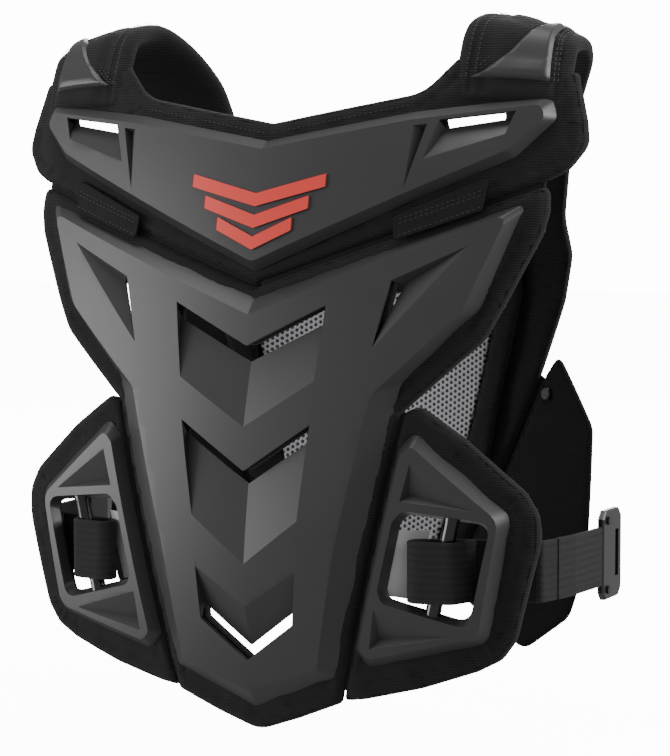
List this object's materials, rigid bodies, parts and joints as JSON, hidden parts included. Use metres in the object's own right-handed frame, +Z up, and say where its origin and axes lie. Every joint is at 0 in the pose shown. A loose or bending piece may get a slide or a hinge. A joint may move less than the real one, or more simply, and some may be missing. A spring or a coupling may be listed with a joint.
{
  "type": "roost-guard chest protector",
  "caption": "Off-road chest protector: louvred plates on foam liners, shoulder pads, side plates and straps that link front and back.",
  "frame": {"origin": "midway between the shoulders, under the crests of the shoulder pads", "axes": "+Z up, +X to the wearer's left, -Y out of the wearer's chest"},
  "size_m": [0.3978, 0.2244, 0.4504],
  "materials": {
    "shell": "satin moulded plastic",
    "badge": "gloss red",
    "liner": "black ribbed fabric over foam",
    "webbing": "woven black webbing",
    "mesh": "grey open mesh",
    "post": "gloss black",
    "steel": "black painted"
  },
  "bodies": {
    "yoke": {"yoke_shell": "shell", "yoke_badge": "badge", "yoke_liner": "liner", "left_shoulder_pad": "liner", "right_shoulder_pad": "liner", "left_shoulder_cap": "shell", "right_shoulder_cap": "shell", "left_flex_tab": "webbing", "right_flex_tab": "webbing"},
    "chest": {"chest_shell": "shell", "chest_liner": "liner"},
    "back": {"back_shell_upper": "shell", "back_shell_lower": "shell", "back_liner": "liner", "spine_mesh": "mesh", "left_back_bolster": "liner", "right_back_bolster": "liner", "left_shoulder_webbing": "webbing", "right_shoulder_webbing": "webbing", "left_shoulder_adjuster": "post", "right_shoulder_adjuster": "post"},
    "left_wing": {"left_wing_shell": "shell", "left_wing_liner": "liner", "left_strap_post": "post", "left_strap_loop": "webbing"},
    "left_strap": {"left_strap_tail": "webbing"},
    "left_buckle": {"left_strap_buckle": "post", "left_buckle_screws": "steel"},
    "left_back_wing": {"left_back_wing_liner": "liner", "left_back_wing_shell": "shell", "left_back_wing_rivet": "steel"},
    "right_wing": {"right_wing_shell": "shell", "right_wing_liner": "liner", "right_strap_post": "post", "right_strap_loop": "webbing"},
    "right_strap": {"right_strap_tail": "webbing"},
    "right_buckle": {"right_strap_buckle": "post", "right_buckle_screws": "steel"},
    "right_back_wing": {"right_back_wing_liner": "liner", "right_back_wing_shell": "shell", "right_back_wing_rivet": "steel"}
  },
  "joints": [
    {"name": "front_flex", "type": "hinge", "parent": "yoke", "child": "chest", "pos_m": [0, -0.04653, -0.097], "axis": [1, 0, 0], "range_deg": [-5, 5]},
    {"name": "shoulder_hinge", "type": "hinge", "parent": "yoke", "child": "back", "pos_m": [0, 0.086, -0.036], "axis": [1, 0, 0], "range_deg": [-3, 50]},
    {"name": "left_wing_flex", "type": "hinge", "parent": "chest", "child": "left_wing", "pos_m": [0.098, -0.0702, -0.215], "axis": [0.2209, -0.0039, 0.9753], "range_deg": [-18, 2]},
    {"name": "left_strap_swing", "type": "hinge", "parent": "left_wing", "child": "left_strap", "pos_m": [0.1776, -0.03802, -0.311], "axis": [0, 0, -1], "range_deg": [-2, 60]},
    {"name": "left_buckle_swivel", "type": "hinge", "parent": "left_strap", "child": "left_buckle", "pos_m": [0.188, 0.0364, -0.311], "axis": [0, 0, -1], "range_deg": [-20, 25]},
    {"name": "left_back_wing_flex", "type": "hinge", "parent": "back", "child": "left_back_wing", "pos_m": [0.1312, 0.09297, -0.197], "axis": [0.4296, -0.0258, 0.9027], "range_deg": [-12, 3]},
    {"name": "right_wing_flex", "type": "hinge", "parent": "chest", "child": "right_wing", "pos_m": [-0.098, -0.0702, -0.215], "axis": [0.2209, 0.0039, -0.9753], "range_deg": [-18, 2]},
    {"name": "right_strap_swing", "type": "hinge", "parent": "right_wing", "child": "right_strap", "pos_m": [-0.1776, -0.03802, -0.311], "axis": [0, 0, 1], "range_deg": [-2, 60]},
    {"name": "right_buckle_swivel", "type": "hinge", "parent": "right_strap", "child": "right_buckle", "pos_m": [-0.188, 0.0364, -0.311], "axis": [0, 0, 1], "range_deg": [-20, 25]},
    {"name": "right_back_wing_flex", "type": "hinge", "parent": "back", "child": "right_back_wing", "pos_m": [-0.1312, 0.09297, -0.197], "axis": [0.4296, 0.0258, -0.9027], "range_deg": [-12, 3]}
  ]
}
